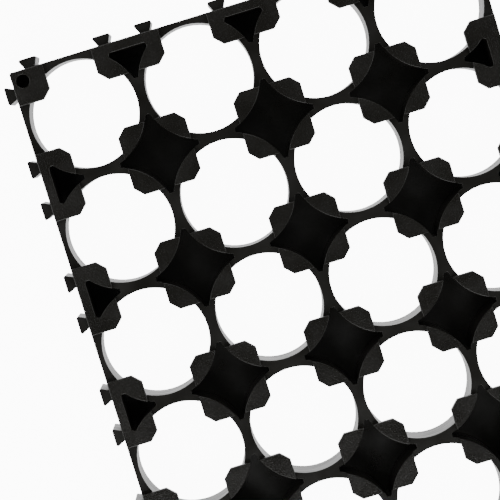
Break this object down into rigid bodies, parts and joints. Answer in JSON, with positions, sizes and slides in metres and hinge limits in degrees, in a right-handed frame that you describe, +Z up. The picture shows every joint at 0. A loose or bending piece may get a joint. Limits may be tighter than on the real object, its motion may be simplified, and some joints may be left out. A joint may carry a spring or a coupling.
{
  "type": "battery cell holder bracket",
  "caption": "Flat moulded holder for round battery cells: a lattice of bores with square stop blocks over the gaps, star pockets and dovetails that join holders edge to edge.",
  "frame": {"origin": "on the underside, at the centre of the cell grid", "axes": "+Z up, from the cells' side to the strips' side; X along the rows of four cells, Y along the columns of five; tails on the -X and +Y edges"},
  "size_m": [0.0824, 0.1026, 0.007],
  "materials": {
    "black_plastic": "black ABS, fine satin texture"
  },
  "bodies": {
    "root": {"cell_holder": "black_plastic"}
  },
  "joints": []
}
